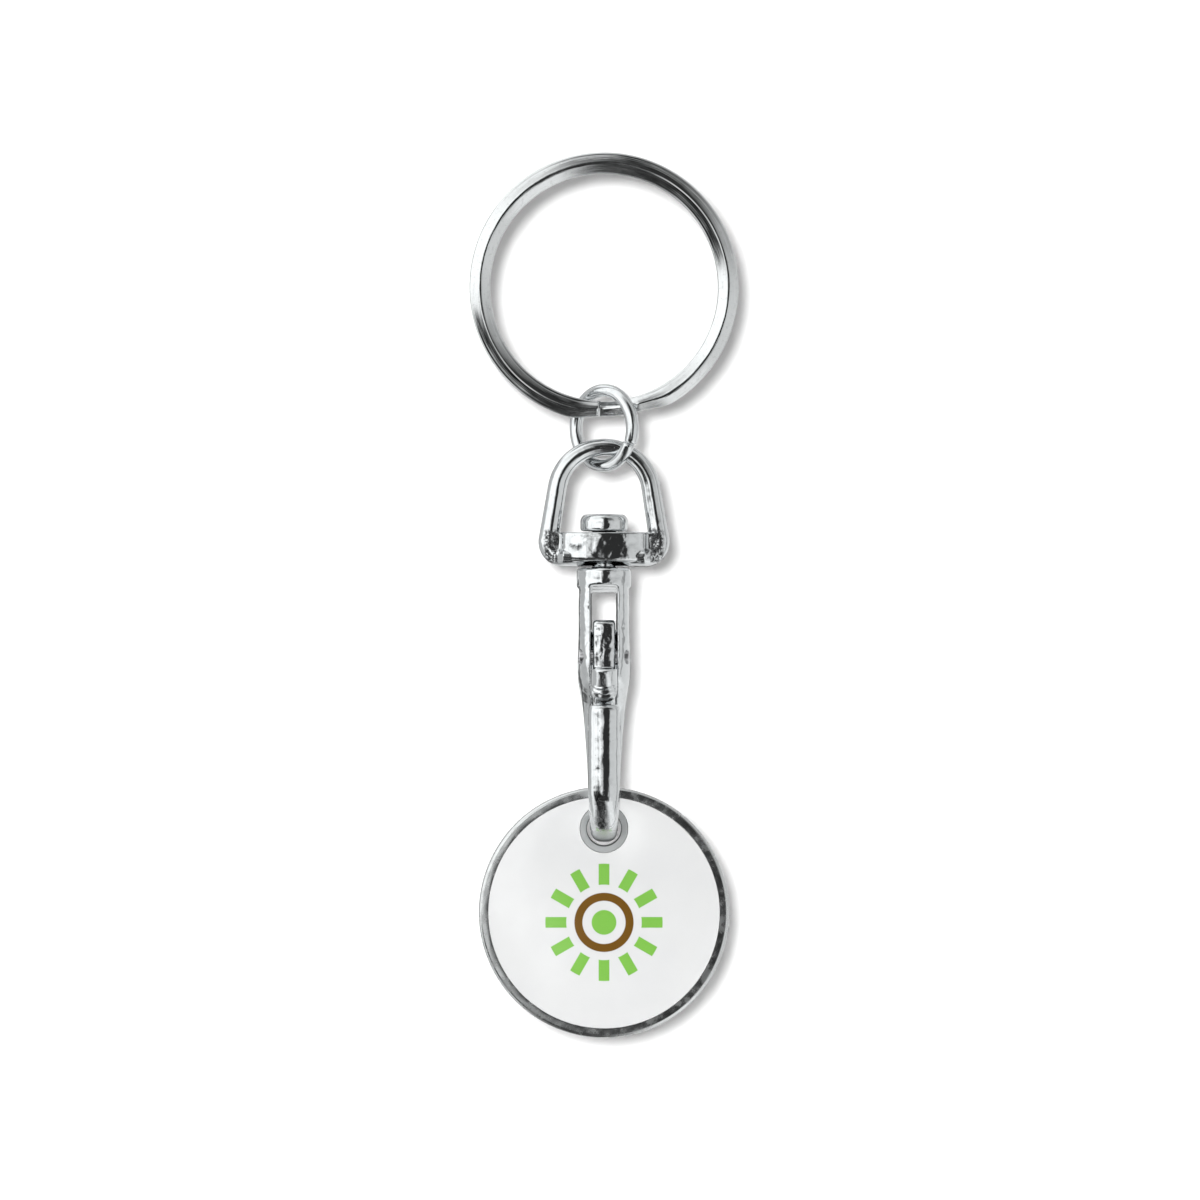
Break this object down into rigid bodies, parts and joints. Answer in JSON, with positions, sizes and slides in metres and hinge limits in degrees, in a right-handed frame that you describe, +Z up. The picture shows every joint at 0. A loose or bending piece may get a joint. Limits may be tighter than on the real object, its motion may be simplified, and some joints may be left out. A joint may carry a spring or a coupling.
{
  "type": "trolley coin keyring",
  "caption": "Split ring, link and swivelling snap hook with a thumb-lever gate, carrying a round token with an off-centre hole for a trolley lock.",
  "frame": {"origin": "the lowest point of the split ring's inside top, where the keyring hangs", "axes": "+Z up along the hanging keyring, -Y towards the front (the side with the gate's knob and the nose), +X to the right seen from the front"},
  "size_m": [0.025, 0.0109, 0.0823],
  "materials": {
    "split_ring": "bright nickel-chrome plating on rolled steel strip, fine wear lines along the wire",
    "jump_ring": "bright nickel-chrome plating on round wire",
    "swivel_eye": "bright chrome plating on a die casting, slightly soft edges",
    "hook_body": "bright chrome plating on a die casting, slightly soft edges",
    "pivot_pin": "turned steel pin with peened ends",
    "gate_lever": "bright chrome plating on a die casting, matt ridges on the knob",
    "gate_spring": "drawn spring steel wire",
    "coin_blank": "nickel-plated struck blank with a satin rim",
    "coin_face_front": "glossy white fill with a small printed design",
    "coin_face_back": "glossy white fill with a small printed design"
  },
  "bodies": {
    "ring": {"split_ring": "split_ring"},
    "link": {"jump_ring": "jump_ring"},
    "eye": {"swivel_eye": "swivel_eye"},
    "hook": {"hook_body": "hook_body", "pivot_pin": "pivot_pin", "gate_spring": "gate_spring"},
    "gate": {"gate_lever": "gate_lever"},
    "token": {"coin_blank": "coin_blank", "coin_face_front": "coin_face_front", "coin_face_back": "coin_face_back"}
  },
  "joints": [
    {"name": "ring_swing", "type": "hinge", "parent": "ring", "child": "link", "pos_m": [0, 0, -0.02215], "axis": [1, 0, 0], "range_deg": [-80, 80]},
    {"name": "eye_swing", "type": "hinge", "parent": "link", "child": "eye", "pos_m": [0, 0, -0.02719], "axis": [0.4384, -0.8988, 0], "range_deg": [-60, 60]},
    {"name": "swivel_spin", "type": "hinge", "parent": "eye", "child": "hook", "pos_m": [0, 0, -0.03668], "axis": [0, 0, 1], "continuous": true},
    {"name": "gate_open", "type": "hinge", "parent": "hook", "child": "gate", "pos_m": [0, -0.0012, -0.04498], "axis": [1, 0, 0], "range_deg": [0, 32], "stiffness_Nm_per_rad": 0.006, "springref_deg": -20.05, "deforming": ["gate_spring"]},
    {"name": "coin_swing", "type": "hinge", "parent": "hook", "child": "token", "pos_m": [0, 0, -0.06093], "axis": [0, 1, 0], "range_deg": [-90, 90]}
  ]
}
